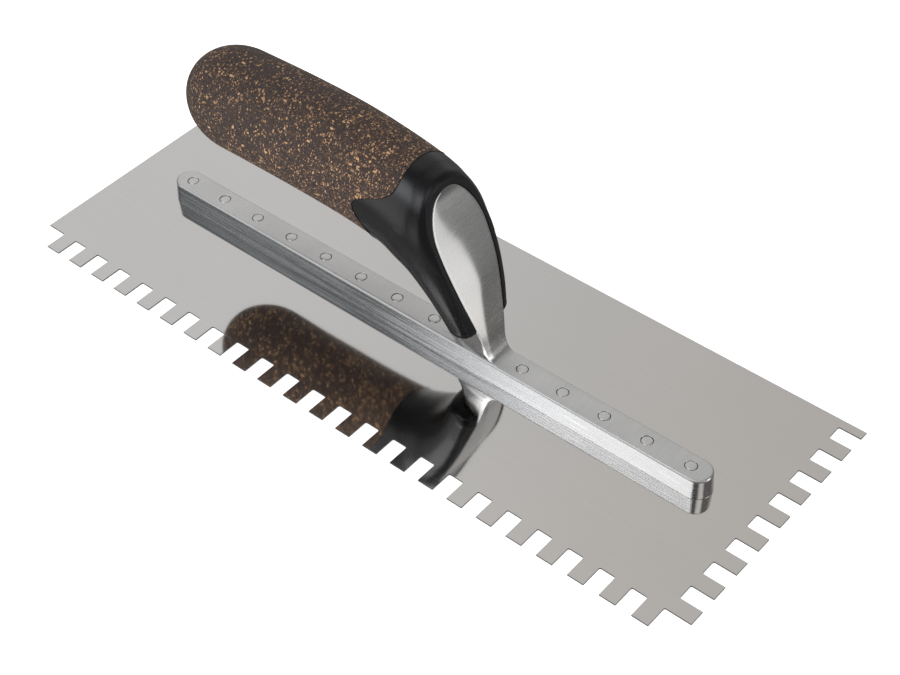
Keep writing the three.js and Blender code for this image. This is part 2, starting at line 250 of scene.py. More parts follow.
def lofted(name, rings):
    """A solid through rings of equal length, with one flat face at each end."""
    sides = len(rings[0])
    points = np.concatenate(rings)
    faces = ring_faces(len(rings), sides)
    faces.append(tuple(reversed(range(sides))))
    faces.append(tuple(range(len(points) - sides, len(points))))
    return make_object(name, points, faces)


def lathed(name, profile, sides=48):
    """A solid turned about Z. The profile runs from the axis at the bottom to the axis at the top."""
    angles = np.linspace(0, 2 * math.pi, sides, endpoint=False)
    rings = [
        np.stack([r * np.cos(angles), r * np.sin(angles), np.full(sides, z)], 1)
        for r, z in profile[1:-1]
    ]
    points = np.concatenate([[(0, 0, profile[0][1])], *rings, [(0, 0, profile[-1][1])]])
    faces = ring_faces(len(rings), sides, start=1)
    last = len(points) - 1
    for i in range(sides):
        j = (i + 1) % sides
        faces.append((0, 1 + j, 1 + i))
        faces.append((last, last - sides + i, last - sides + j))
    return make_object(name, points, faces)


def along_grip(name, outline, back, front):
    """A solid along X on the grip's axis, from an outline drawn in (y, z) about that axis."""
    outline = np.asarray(outline, float)
    rings = [
        np.column_stack([np.full(len(outline), x), outline[:, 0], outline[:, 1] + GRIP_AXIS])
        for x in (back, front)
    ]
    return lofted(name, rings)


def ellipse(half_width, half_height, sides=64):
    """Outline of an ellipse about the origin."""
    angles = np.linspace(0, 2 * math.pi, sides, endpoint=False)
    return np.stack([half_width * np.cos(angles), half_height * np.sin(angles)], 1)


def rectangle(width, height):
    """Corners of a rectangle about the origin."""
    return np.array([(-1, -1), (1, -1), (1, 1), (-1, 1)]) * (width / 2, height / 2)


def combine(piece, other, operation):
    """Cuts or joins another solid into a piece, and removes the other."""
    modifier = piece.modifiers.new(operation.lower(), "BOOLEAN")
    modifier.operation = operation
    modifier.object = other
    modifier.solver = "MANIFOLD"
    depsgraph = bpy.context.evaluated_depsgraph_get()
    result = bpy.data.meshes.new_from_object(piece.evaluated_get(depsgraph))
    piece.modifiers.clear()
    piece.data = result
    bpy.data.objects.remove(other)
    return piece


def weld(piece, distance):
    """Joins vertices that lie on each other and points all faces outwards."""
    shape = bmesh.new()
    shape.from_mesh(piece.data)
    bmesh.ops.remove_doubles(shape, verts=shape.verts, dist=distance * MM)
    bmesh.ops.recalc_face_normals(shape, faces=shape.faces)
    shape.to_mesh(piece.data)
    shape.free()


def shade(piece, sharp_degrees):
    """Smooth shading, with a crisp line wherever the surface turns by more than the angle."""
    piece.data.shade_smooth()
    piece.data.set_sharp_from_angle(angle=math.radians(sharp_degrees))


def finish_piece(piece, material, slot, *nodes, sharp_degrees):
    """Shades and paints a piece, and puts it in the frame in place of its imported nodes."""
    shade(piece, sharp_degrees)
    piece.data.materials.clear()
    piece.data.materials.append(material)
    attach(piece, "root")
    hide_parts(*nodes)


# ------------------------------------------------------------------ node helpers


class Shader:
    """A material whose nodes are added one short call at a time. Its lengths are in metres."""

    def __init__(self, name):
        self.material = bpy.data.materials.new(name)
        self.material.use_nodes = True
        self.tree = self.material.node_tree
        self.tree.nodes.clear()
        self.place = self.add("ShaderNodeTexCoord").outputs["Object"]

    def add(self, kind, settings=None, inputs=None):
        node = self.tree.nodes.new(kind)
        for key, value in (settings or {}).items():
            setattr(node, key, value)
        for key, value in (inputs or {}).items():
            if isinstance(value, bpy.types.NodeSocket):
                self.tree.links.new(value, node.inputs[key])
            else:
                node.inputs[key].default_value = value
        return node

    def math(self, operation, a, b=0.0, c=0.0):
        return self.add("ShaderNodeMath", {"operation": operation}, {0: a, 1: b, 2: c}).outputs[0]

    def weighted(self, a, a_weight, b, b_weight):
        """The sum of two values, each times its weight."""
        return self.math("ADD", self.math("MULTIPLY", a, a_weight), self.math("MULTIPLY", b, b_weight))

    def split(self, vector):
        """The x, y and z parts of a vector."""
        return self.add("ShaderNodeSeparateXYZ", None, {0: vector}).outputs

    def facing(self):
        """The x, y and z parts of the surface's normal."""
        return self.split(self.add("ShaderNodeNewGeometry").outputs["Normal"])

    def ramp(self, value, low, high, out_low=0.0, out_high=1.0):
        """Value from low to high carried smoothly to the two output values."""
        inputs = {
            "Value": value, "From Min": low, "From Max": high, "To Min": out_low, "To Max": out_high,
        }
        return self.add("ShaderNodeMapRange", {"interpolation_type": "SMOOTHSTEP"}, inputs).outputs[0]

    def mix(self, factor, a, b):
        """The first colour or value turned into the second by the factor."""
        inputs = {"Factor": factor, "A": a, "B": b}
        node = self.add("ShaderNodeMix", {"data_type": "RGBA"})
        for key, value in inputs.items():
            sockets = [s for s in node.inputs if s.name == key and s.enabled]
            if isinstance(value, bpy.types.NodeSocket):
                self.tree.links.new(value, sockets[0])
            else:
                sockets[0].default_value = value
        return [s for s in node.outputs if s.enabled][0]

    def stretched(self, scale, turn=(0, 0, 0)):
        """The object's coordinates turned by degrees and scaled along each axis."""
        rotation = [math.radians(degrees) for degrees in turn]
        inputs = {"Vector": self.place, "Scale": scale, "Rotation": rotation}
        return self.add("ShaderNodeMapping", None, inputs).outputs[0]

    def noise(self, vector, scale=1.0, detail=2.0, roughness=0.5):
        inputs = {"Vector": vector, "Scale": scale, "Detail": detail, "Roughness": roughness}
        return self.add("ShaderNodeTexNoise", None, inputs).outputs[0]

    def bump(self, height, distance, normal=None):
        """A normal that follows the height, which stands for a distance in metres."""
        inputs = {"Height": height, "Distance": distance, "Strength": 1.0}
        if normal:
            inputs["Normal"] = normal
        return self.add("ShaderNodeBump", None, inputs).outputs[0]

    def surface(self, **inputs):
        """Ends the material with a Principled shader that has the given inputs."""
        named = {key.replace("_", " "): value for key, value in inputs.items()}
        shader = self.add("ShaderNodeBsdfPrincipled", None, named)
        output = self.add("ShaderNodeOutputMaterial")
        self.tree.links.new(shader.outputs[0], output.inputs[0])
        return self.material


def grey(value, warmth=0.0):
    """A neutral colour, or a slightly warm one, or a slightly cold one if warmth is negative."""
    return (value * (1 + warmth), value, value * (1 - warmth), 1)


# ------------------------------------------------------------------ materials


def blade_steel():
    s = Shader("polished_stainless_steel")
    brushed = s.noise(s.stretched((6, 900, 900)), 1.0, 3.0, 0.6)
    cloudy = s.noise(s.place, 14.0, 3.0)
    fine = s.noise(s.stretched((25, 3500, 3500)), 1.0, 2.0)
    scratches = s.noise(s.stretched((9, 1400, 1400), (0, 0, 7)), 1.0, 1.0)
    marks = s.ramp(scratches, 0.7, 0.78)
    tone = s.weighted(brushed, 0.5, cloudy, 0.5)
    # The blade turns warmer towards the toe: a painted warm reflection tint.
    heel_colour = s.mix(tone, grey(0.56, 0.008), grey(0.61, 0.014))
    warm_reflection_toe_colour = s.mix(tone, grey(0.56, 0.035), grey(0.61, 0.042))
    colour = s.mix(s.ramp(s.split(s.place)[0], -0.03, 0.14), heel_colour, warm_reflection_toe_colour)
    colour = s.mix(s.math("MULTIPLY", marks, 0.25), colour, grey(0.7, 0.01))
    roughness = s.ramp(cloudy, 0.3, 0.7, 0.04, 0.065)
    roughness = s.math("ADD", roughness, s.math("MULTIPLY", marks, 0.06))
    height = s.weighted(fine, 0.5, brushed, 0.5)
    # The cut edges: a real rougher finish, and a mottled dark colour that is painted shade.
    rough_and_shaded_edge = s.ramp(s.math("ABSOLUTE", s.facing()[2]), 0.97, 0.8)
    edge_shade_mottle = s.noise(s.stretched((2600, 2600, 900)), 1.0, 3.0)
    colour = s.mix(rough_and_shaded_edge, colour, s.mix(edge_shade_mottle, grey(0.07), grey(0.2)))
    roughness = s.math("MULTIPLY_ADD", rough_and_shaded_edge, 0.35, roughness)
    wavy = s.bump(s.noise(s.place, 22.0, 1.0), 0.00008)
    normal = s.bump(height, 0.0000012, wavy)
    return s.surface(Base_Color=colour, Metallic=1.0, Roughness=roughness, Normal=normal)


def machining_marks(s, sideways, neck):
    """Fine lines: along the bar's sides, across its top, and fanned over the neck's face."""
    lengthwise = s.ramp(s.noise(s.stretched((18, 300, 1500)), 1.0, 4.0, 0.65), 0.3, 0.7)
    transverse = s.noise(s.stretched((2200, 60, 1500)), 1.0, 3.0, 0.65)
    fanned = s.noise(s.stretched((900, 130, 2600), (14, 0, 0)), 1.0, 3.0, 0.7)
    coarse = s.ramp(s.noise(s.stretched((500, 110, 1300), (20, 0, 0)), 1.0, 2.0), 0.5, 0.75)
    bar_marks = s.mix(sideways, transverse, lengthwise)
    return s.mix(neck, bar_marks, s.weighted(fanned, 0.85, coarse, 0.15))


def cast_aluminium():
    s = Shader("machined_aluminium")
    facing, place = s.facing(), s.split(s.place)
    sideways = s.ramp(s.math("ABSOLUTE", facing[1]), 0.6, 0.85)
    neck = s.ramp(place[2], (BAR_TOP + 0.6) * MM, (BAR_TOP + 2.8) * MM)
    bar = s.math("SUBTRACT", 1.0, neck)
    endwise = s.math("MULTIPLY", s.ramp(s.math("ABSOLUTE", facing[0]), 0.25, 0.6), bar)
    slanted = s.math("MINIMUM", s.math("ABSOLUTE", facing[1]), facing[2])
    rubbed = s.math("MULTIPLY", s.ramp(slanted, 0.12, 0.35), bar)
    marks = machining_marks(s, sideways, neck)
    pitted = s.noise(s.place, 900.0, 3.0, 0.7)
    cloudy = s.noise(s.place, 60.0, 3.0)

    # Colour: paler and more even on the neck and streaked on the bar's sides, with painted shade that
    # darkens the sides, their toe end and the top of the neck.
    tone = s.ramp(s.weighted(marks, 0.7, cloudy, 0.3), 0.25, 0.75)
    palest = s.ramp(neck, 0.0, 1.0, 0.35, 0.68)
    tone = s.math("MULTIPLY_ADD", tone, s.math("SUBTRACT", 1.0, palest), palest)
    # The bar's sides get a darker, slightly cold copy of the colour: painted shade with a painted cold
    # reflection.
    shaded_cold_side_colour = s.mix(tone, grey(0.34, -0.012), grey(0.5, -0.012))
    colour = s.mix(tone, grey(0.43), grey(0.64, 0.004))
    colour = s.mix(s.math("MULTIPLY", sideways, bar), colour, shaded_cold_side_colour)
    streaks = s.ramp(s.noise(s.stretched((45, 200, 700)), 1.0, 2.0), 0.58, 0.75)
    worn = s.math("MULTIPLY", s.math("MULTIPLY", streaks, sideways), 0.4)
    colour = s.mix(worn, colour, grey(0.7))
    # Painted shade: the bar's sides darken towards the toe.
    toe_side_painted_shade = s.math("MULTIPLY", s.ramp(place[0], 0.05, 0.13, 0.0, 0.14), sideways)
    colour = s.mix(toe_side_painted_shade, colour, grey(0.12))
    # Painted shade: the neck darkens towards its top.
    colour = s.mix(s.ramp(place[2], 0.03, 0.065, 0.0, 0.26), colour, grey(0.12))

    # Finish: rougher on top and along the rubbed edges, more polished at the sides and round ends.
    mark_roughness = s.ramp(neck, 0.0, 1.0, 0.12, 0.05)
    roughness = s.math("MULTIPLY_ADD", s.ramp(marks, 0.3, 0.7), mark_roughness, 0.22)
    roughness = s.math("MULTIPLY_ADD", pitted, 0.05, roughness)
    roughness = s.math("ADD", roughness, s.ramp(facing[2], 0.7, 0.95, 0.0, 0.12))
    for mask, change in ((rubbed, 0.25), (sideways, -0.06), (endwise, -0.1)):
        roughness = s.math("MULTIPLY_ADD", mask, change, roughness)
    height = s.weighted(marks, 1.0, pitted, 0.35)
    height = s.math("MULTIPLY", height, s.ramp(neck, 0.0, 1.0, 1.0, 0.09))
    height = s.math("MULTIPLY", height, s.ramp(endwise, 0.0, 1.0, 1.0, 0.3))
    normal = s.bump(height, 0.000012)
    return s.surface(Base_Color=colour, Metallic=1.0, Roughness=roughness, Normal=normal)


def rivet_steel():
    s = Shader("rivet_metal")
    turned = s.add(
        "ShaderNodeTexWave",
        {"wave_type": "RINGS", "rings_direction": "Z"},
        {"Vector": s.place, "Scale": 900.0, "Distortion": 2.0, "Detail": 2.0},
    ).outputs["Fac"]
    spots = s.noise(s.place, 1100.0, 3.0)
    colour = s.mix(s.math("MULTIPLY_ADD", turned, 0.5, spots), grey(0.46), grey(0.6, 0.008))
    roughness = s.ramp(spots, 0.3, 0.7, 0.22, 0.4)
    normal = s.bump(s.math("ADD", turned, spots), 0.000015)
    return s.surface(Base_Color=colour, Metallic=1.0, Roughness=roughness, Normal=normal)


def granules(s, scale, stretch, turn, share, size, seed):
    """A layer of scattered flecks: a mask, and a value that differs from fleck to fleck.

    Share is the part of the layer's cells that hold a fleck, and size is that of the largest one
    in cells. The warp makes the flecks ragged.
    """
    vector = s.stretched([scale * k for k in stretch], turn)
    ragged = {"Vector": vector, "Scale": 1.7, "Detail": 2.0}
    warp = s.add("ShaderNodeTexNoise", None, ragged).outputs["Color"]
    warped = {0: warp, 1: (0.55,) * 3, 2: vector}
    vector = s.add("ShaderNodeVectorMath", {"operation": "MULTIPLY_ADD"}, warped).outputs[0]
    moved = {0: vector, 1: (seed,) * 3}
    vector = s.add("ShaderNodeVectorMath", {"operation": "ADD"}, moved).outputs[0]
    cells = s.add("ShaderNodeTexVoronoi", None, {"Vector": vector, "Scale": 1.0})
    chance, shade_of, width = s.add(
        "ShaderNodeSeparateColor", None, {0: cells.outputs["Color"]}
    ).outputs
    near = s.math("SUBTRACT", s.math("MULTIPLY", width, size), cells.outputs["Distance"])
    body = s.ramp(near, -0.03, 0.06)
    chosen = s.ramp(s.math("SUBTRACT", share, chance), -0.01, 0.01)
    return s.math("MULTIPLY", body, chosen), shade_of


def cork_rubber():
    s = Shader("cork_and_rubber")
    patches = s.noise(s.place, 75.0, 2.0)
    density = s.ramp(s.split(s.place)[0], -0.09, 0.0, -0.1, 0.12)
    density = s.math("ADD", density, s.ramp(patches, 0.35, 0.65, -0.12, 0.12))
    dark, light = (0.022, 0.016, 0.015, 1), (0.092, 0.063, 0.054, 1)
    dark_tan, light_tan = (0.055, 0.03, 0.022, 1), (0.7, 0.42, 0.22, 1)
    ground = s.ramp(s.noise(s.place, 1500.0, 3.0, 0.65), 0.3, 0.72)
    colour = s.mix(ground, dark, light)
    # Each layer of cork: scale, stretch, turn in degrees, share, size, seed.
    layers = [
        (2300, (1.0, 0.8, 0.6), (40, 10, 0), 0.42, 0.6, 41.3),
        (1350, (1.0, 1.0, 0.5), (0, 25, 0), 0.48, 0.62, 3.1),
        (1700, (1.0, 0.5, 1.0), (20, 0, 30), 0.48, 0.64, 11.7),
        (1050, (0.5, 1.0, 1.0), (0, -35, 15), 0.3, 0.56, 23.9),
    ]
    covered = 0.0
    for scale, stretch, turn, share, size, seed in layers:
        mask, shade_of = granules(s, scale, stretch, turn, s.math("ADD", density, share), size, seed)
        tan = s.mix(s.math("POWER", shade_of, 2.7), dark_tan, light_tan)
        colour = s.mix(mask, colour, tan)
        covered = s.math("MAXIMUM", covered, mask)
    grain = s.noise(s.place, 1500.0, 4.0, 0.7)
    roughness = s.ramp(grain, 0.3, 0.7, 0.62, 0.82)
    pits = s.ramp(s.noise(s.place, 650.0, 2.0), 0.64, 0.72, 0.0, -0.8)
    height = s.math("ADD", s.weighted(grain, 0.5, covered, 0.35), pits)
    normal = s.bump(height, 0.00009)
    return s.surface(
        Base_Color=colour, Roughness=roughness, Normal=normal, Specular_IOR_Level=0.35
    )


def collar_rubber():
    s = Shader("moulded_black_rubber")
    grain = s.noise(s.place, 2600.0, 3.0, 0.6)
    cloudy = s.noise(s.place, 70.0, 3.0)
    scuffs = s.ramp(s.noise(s.stretched((160, 420, 240), (0, 30, 0)), 1.0, 3.0), 0.62, 0.8)
    colour = s.mix(cloudy, (0.0025, 0.0026, 0.0036, 1), (0.0045, 0.0047, 0.006, 1))
    colour = s.mix(s.math("MULTIPLY", scuffs, 0.35), colour, (0.03, 0.03, 0.031, 1))
    ground_lip = s.ramp(s.facing()[0], 0.65, 0.85, 0.0, 0.4)
    roughness = s.math("ADD", s.ramp(cloudy, 0.3, 0.7, 0.185, 0.265), ground_lip)
    roughness = s.math("ADD", roughness, s.math("MULTIPLY", scuffs, 0.12))
    normal = s.bump(s.weighted(grain, 1.0, cloudy, 1.5), 0.00005)
    return s.surface(Base_Color=colour, Roughness=roughness, Normal=normal, Specular_IOR_Level=0.4)


def core_plastic():
    s = Shader("core_plastic")
    grain = s.noise(s.place, 1200.0, 3.0)
    flow = s.noise(s.stretched((30, 260, 260)), 1.0, 3.0)
    colour = s.mix(flow, (0.011, 0.011, 0.012, 1), (0.022, 0.022, 0.023, 1))
    normal = s.bump(s.math("ADD", grain, flow), 0.00004)
    return s.surface(Base_Color=colour, Roughness=s.ramp(grain, 0.3, 0.7, 0.45, 0.6), Normal=normal)


def fastener_steel():
    s = Shader("zinc_plated_steel")
    flakes = s.noise(s.place, 700.0, 4.0, 0.6)
    stain = s.noise(s.place, 180.0, 2.0)
    colour = s.mix(stain, grey(0.42, 0.02), grey(0.6, -0.01))
    normal = s.bump(flakes, 0.00002)
    roughness = s.ramp(flakes, 0.3, 0.7, 0.24, 0.42)
    return s.surface(Base_Color=colour, Metallic=1.0, Roughness=roughness, Normal=normal)


def floor_paint():
    s = Shader("pale_floor")
    speckle = s.noise(s.place, 60.0, 4.0)
    colour = s.mix(speckle, grey(0.86), grey(0.89))
    normal = s.bump(speckle, 0.00005)
    return s.surface(
        Base_Color=colour, Roughness=0.85, Normal=normal, Specular_IOR_Level=0.2,
        Emission_Color=(1, 1, 1, 1), Emission_Strength=0.75,
    )


# ------------------------------------------------------------------ blade


def rounded_corner(corner, before, after, steps=4):
    """Points round a notch's root corner, between two square edges."""
    corner, before, after = (np.array(v, float) for v in (corner, before, after))
    centre = corner + NOTCH_ROOT_RADIUS * (after - before)
    turn = np.linspace(0, math.pi / 2, steps + 1)
    return [
        tuple(centre - NOTCH_ROOT_RADIUS * (after * math.cos(a) - before * math.sin(a))) for a in turn
    ]


def blade_outline():
    """Corners of the blade, from the heel along the long notched edge and round."""
    root = FRONT_EDGE + LONG_NOTCH_DEPTH
    points = [(HEEL_PLANE, root)]
    for i in range(LONG_TEETH):
        left = HEEL_PLANE + LONG_FIRST_TOOTH + i * NOTCH_PITCH
        right = left + LONG_TOOTH_WIDTH
        points += rounded_corner((left, root), (1, 0), (0, -1))
        points += [(left, FRONT_EDGE), (right, FRONT_EDGE)]
        points += rounded_corner((right, root), (0, 1), (1, 0))
    toe_root = TOE_PLANE - TOE_NOTCH_DEPTH
    points.append((TOE_PLANE, root))
    y = root
    while y + NOTCH_PITCH < BACK_EDGE:
        points.append((TOE_PLANE, y + TOE_TOOTH_WIDTH))
        points += rounded_corner((toe_root, y + TOE_TOOTH_WIDTH), (-1, 0), (0, 1))
        y += NOTCH_PITCH
        points += rounded_corner((toe_root, y), (0, 1), (1, 0))
        points.append((TOE_PLANE, y))
    points += [(TOE_PLANE, BACK_EDGE), (HEEL_PLANE, BACK_EDGE)]
    return points


def add_outline(curve, points):
    """Adds a closed outline to a filled curve, in millimetres."""
    line = curve.splines.new("POLY")
    line.points.add(len(points) - 1)
    for point, (x, y) in zip(line.points, points):
        point.co = (x * MM, y * MM, 0, 1)
    line.use_cyclic_u = True


def make_blade():
    """The blade as a filled outline with a thickness and finely rounded edges."""
    curve = bpy.data.curves.new("blade_outline", "CURVE")
    curve.dimensions = "2D"
    curve.fill_mode = "BOTH"
    curve.bevel_depth = BLADE_EDGE_ROUND * MM
    curve.bevel_resolution = 1
    curve.offset = -BLADE_EDGE_ROUND * MM
    curve.extrude = (BLADE_THICKNESS / 2 - BLADE_EDGE_ROUND) * MM
    add_outline(curve, blade_outline())
    for x in RIVET_PLACES:
        add_outline(curve, ellipse(RIVET_HOLE_RADIUS, RIVET_HOLE_RADIUS, 32) + (x, 0))
    shape = bpy.data.objects.new("blade_shape", curve)
    bpy.context.scene.collection.objects.link(shape)
    bpy.context.view_layer.update()
    mesh = bpy.data.meshes.new_from_object(shape)
    bpy.data.objects.remove(shape)
    mesh.transform(Matrix.Translation((0, 0, BLADE_THICKNESS / 2 * MM)))
    piece = bpy.data.objects.new("blade_plate", mesh)
    bpy.context.scene.collection.objects.link(piece)
    weld(piece, 0.0005)
    finish_piece(piece, blade_steel(), "blade_steel", "blade", sharp_degrees=20)


# ------------------------------------------------------------------ mounting casting


def stadium(half_width):
    """Outline of the bar at one level, with round ends, for a given half-width."""
    reach = BAR_HALF_LENGTH - BAR_HALF_WIDTH
    turn = np.linspace(-math.pi / 2, math.pi / 2, BAR_END_STEPS)
    toe = np.stack([reach + half_width * np.cos(turn), half_width * np.sin(turn)], 1)
    return np.concatenate([toe, -toe])


def make_bar():
    """The bar: drafted sides, a rounded top edge and round ends."""
    foot, shoulder = BLADE_THICKNESS + BAR_FOOT_CHAMFER, BAR_TOP - BAR_EDGE_ROUND
    # Levels this close to the edges keep the sides' shading flat between them.
    edge_gap, flat_rim = 0.1, 0.15
    levels = [(BAR_FOOT_HALF_WIDTH - BAR_FOOT_CHAMFER, BLADE_THICKNESS), (BAR_FOOT_HALF_WIDTH, foot)]
    for z in (foot + edge_gap, shoulder - edge_gap):
        drawn_in = (BAR_FOOT_HALF_WIDTH - BAR_HALF_WIDTH) * (z - foot) / (shoulder - foot)
        levels.append((BAR_FOOT_HALF_WIDTH - drawn_in, z))
    for angle in np.linspace(0, math.pi / 2, 7):
        inset = BAR_EDGE_ROUND * (1 - math.cos(angle))
        levels.append((BAR_HALF_WIDTH - inset, shoulder + BAR_EDGE_ROUND * math.sin(angle)))
    levels.append((BAR_HALF_WIDTH - BAR_EDGE_ROUND - flat_rim, BAR_TOP))
    rings = [np.insert(stadium(half_width), 2, z, axis=1) for half_width, z in levels]
    return lofted("mounting_casting", rings)


def neck_half_width(z):
    """Half-width of the neck at a height: narrow at the foot, widest high up, round at the apex."""
    rise = np.clip((z - FACE_WIDEST) / (FACE_APEX - FACE_WIDEST), 0, 1)
    swell = np.clip((z - NECK_FOOT) / (FACE_WIDEST - NECK_FOOT), 0, 1)
    above = FACE_HALF_WIDTH * (1 - rise**2) ** (1 / FACE_APEX_ROUNDNESS)
    growth = (FACE_HALF_WIDTH - BAR_HALF_WIDTH) * np.sin(swell * math.pi / 2) ** FACE_SWELL
    foot = FOOT_DRAWN_IN * (1 - smoothstep(z, BAR_TOP, NECK_FOOT))
    return np.where(z >= FACE_WIDEST, above, BAR_HALF_WIDTH - foot + growth)


def crown_of_face(z, half_width, v):
    """How far the face stands out at each place v across it, from -1 to 1: two soft slopes."""
    ridge, gentle = (np.interp(z, *zip(*[(row[0], row[k]) for row in FACE_RIDGE])) for k in (1, 2))
    near, far = v + 1, (1 + ridge) / (1 - ridge) * (1 - v)
    soft = gentle * (1 + ridge) + 0.01
    crown = FACE_SLOPE * half_width * (near + far - np.sqrt((near - far) ** 2 + soft**2) + soft) / 2
    return crown - crown[0]


def neck_section(z, front, back, grow, ahead):
    """One level section of the neck: a crowned face with crisp edges, and a rounded back.

    Grow widens the section all round, and ahead moves its face forward.
    """
    half_width = float(neck_half_width(z)) + grow
    face_x = front + ahead
    edge = min(np.interp(z, *zip(*FACE_EDGE)), half_width * MOST_FACE_EDGE)
    v = np.linspace(-1, 1, 29) * (1 - edge / half_width)
    face = np.stack([face_x + crown_of_face(z, half_width, v), half_width * v], 1)
    turn = np.linspace(0, math.pi, 40)[1:-1]
    depth = front - back + grow
    cos, sin = np.cos(turn), np.sin(turn)
    rear_x = front - depth * sin**NECK_BACK_DEPTH_POWER
    rear_y = half_width * np.sign(cos) * np.abs(cos) ** NECK_BACK_WIDTH_POWER
    corner = np.array([face_x - 0.3 * edge, half_width - 0.3 * edge])
    leave = np.array([face_x - edge, half_width])
    rear = np.stack([rear_x, rear_y], 1)
    ring = np.concatenate([face, [corner, leave], rear, [leave * (1, -1), corner * (1, -1)]])
    return np.column_stack([ring, np.full(len(ring), z)])


def make_neck(grow, ahead=0.0, steps=110):
    """The neck from inside the bar to the apex, with its levels closer together near the apex."""
    t = np.sin(math.pi / 2 * (np.arange(steps) + 0.2) / steps) ** 0.9
    front, back = spline(NECK_FRONT, t), spline(NECK_BACK, t)
    rings = [neck_section(f[1], f[0], b[0], grow, ahead) for f, b in zip(front, back)]
    return lofted("neck", rings)


def make_mounting(material):
    piece = combine(make_bar(), make_neck(-0.01), "UNION")
    tang = along_grip("tang", rectangle(TANG_WIDTH, TANG_HEIGHT), TANG_BACK, TANG_FRONT)
    piece = combine(piece, tang, "UNION")
    wide = RIVET_HOLE_RADIUS + RIVET_HOLE_CHAMFER
    hole = [
        (0, -PAST_PIECE), (RIVET_HOLE_RADIUS, -PAST_PIECE),
        (RIVET_HOLE_RADIUS, BAR_TOP - RIVET_HOLE_CHAMFER),
        (wide, BAR_TOP + 0.001), (wide, BAR_TOP + PAST_PIECE), (0, BAR_TOP + PAST_PIECE),
    ]
    for x in RIVET_PLACES:
        cutter = lathed("hole", hole)
        cutter.data.transform(Matrix.Translation((x * MM, 0, 0)))
        piece = combine(piece, cutter, "DIFFERENCE")
    stud_hole = ellipse(STUD_RADIUS + CLEARANCE, STUD_RADIUS + CLEARANCE, 32)
    bore = along_grip("bore", stud_hole, TANG_BACK - PAST_PIECE, STUD_FRONT + CLEARANCE)
    piece = combine(piece, bore, "DIFFERENCE")
    finish_piece(piece, material, "mounting_aluminium", "mounting", sharp_degrees=40)


def make_rivets(material):
    """The rivets, each with a softly domed end and set a hair off the middle of its hole."""
    rim = [(0.0, 0.22), (0.07, 0.13), (0.2, 0.07), (0.6, 0.03), (1.2, 0.0)]
    profile = [(0, 0), (RIVET_RADIUS - 0.1, 0), (RIVET_RADIUS, 0.1)]
    profile += [(RIVET_RADIUS - inset, BAR_TOP - below) for inset, below in rim]
    profile.append((0, BAR_TOP))
    most_drift = 0.07
    for i, x in enumerate(RIVET_PLACES):
        node = f"rivet_{i + 1:02d}"
        piece = lathed(f"{node}_turned", profile)
        drift = most_drift * np.array([math.sin(2.4 * i), math.cos(3.7 * i)])
        piece.location = ((x + drift[0]) * MM, drift[1] * MM, 0)
        finish_piece(piece, material, "rivet_steel", node, sharp_degrees=40)


# ------------------------------------------------------------------ handle surface


def widest_place(t):
    """The point of the side view about which a section of the handle is drawn."""
    top, low = spline(HANDLE_TOP, t), spline(HANDLE_UNDERSIDE, t)
    return low + (top - low) * spline(WIDEST_PLACE, t)


def handle_station(t, columns):
    """Half a section of the handle at t, from the top point round the near side to the bottom."""
    top, low, middle = spline(HANDLE_TOP, t), spline(HANDLE_UNDERSIDE, t), widest_place(t)
    angle = np.linspace(0, math.pi, 721)
    cos, sin = np.cos(angle), np.sin(angle)
    upper = (cos > 0)[:, None]
    power = np.where(upper, 2 / spline(UPPER_SQUARENESS, t), 2 / spline(LOWER_SQUARENESS, t))[:, 0]
    place = middle + np.where(upper, top - middle, low - middle) * (np.abs(cos) ** power)[:, None]
    side = -spline(HANDLE_HALF_WIDTH, t) * np.abs(sin) ** power
    return resample(np.stack([place[:, 0], side, place[:, 1]], 1), columns)


def handle_grid(stations, columns):
    """Points of the near half of the handle, for evenly spaced stations from heel to tip."""
    return np.array([handle_station(t, columns) for t in np.linspace(0, 1, stations)])


def collar_grid(stations, over_face, beyond):
    """The same surface, with columns that crowd along the outline of the neck's face."""
    lines = handle_grid(stations, 600)
    steps = np.linalg.norm(np.diff(lines, axis=1), axis=2)
    lengths = np.concatenate([np.zeros((stations, 1)), np.cumsum(steps, axis=1)], axis=1)
    covers = np.abs(lines[:, :, 1]) < neck_half_width(lines[:, :, 2]) * (lines[:, :, 2] < FACE_APEX)
    covers &= np.cumsum(~covers, axis=1) == 0
    least_edge = 1.5
    edge = np.maximum(lengths[np.arange(stations), covers.sum(axis=1)], least_edge)
    reach = 12
    spread = np.exp(-np.linspace(-2, 2, 2 * reach + 1) ** 2)
    edge = np.convolve(np.pad(edge, reach, mode="edge"), spread / spread.sum(), mode="valid")
    near = 1 - np.linspace(1, 0, over_face, endpoint=False) ** 1.5
    v = np.linspace(0, 1, beyond)
    far = 0.65 * v * v + 0.35 * v
    rows = []
    for line, length, start in zip(lines, lengths, edge):
        wanted = np.concatenate([near * start, start + far * (length[-1] - start)])
        rows.append(np.stack([np.interp(wanted, length, line[:, k]) for k in range(3)], 1))
    return np.array(rows)


def seam_crossings(grid):
    """For each column of the grid, the fractional row at which it crosses the seam."""
    seam = spline(SEAM, np.linspace(0, 1, 400))[::-1]
    ahead = grid[:, :, 0] - np.interp(grid[:, :, 2], seam[:, 1], seam[:, 0])
    crossings = []
    for j in range(grid.shape[1]):
        row = int(np.argmax(ahead[:, j] > 0))
        before, after = ahead[row - 1, j], ahead[row, j]
        crossings.append(row - 1 + before / (before - after))
    return np.array(crossings)


def pick_rows(grid, rows):
    """The grid sampled at fractional rows, one list of rows for each column."""
    low = np.clip(np.floor(rows).astype(int), 0, len(grid) - 2)
    part = (rows - low)[..., None]
    columns = np.arange(grid.shape[1])[None, :]
    return grid[low, columns] * (1 - part) + grid[low + 1, columns] * part


def surface_normals(points):
    """Outward normals of a grid of points on the near half of the handle."""
    normals = np.cross(np.gradient(points, axis=0), np.gradient(points, axis=1))
    normals /= np.maximum(np.linalg.norm(normals, axis=2, keepdims=True), TINY)
    normals[:, 0, 1] = 0
    normals[:, -1, 1] = 0
    return normals


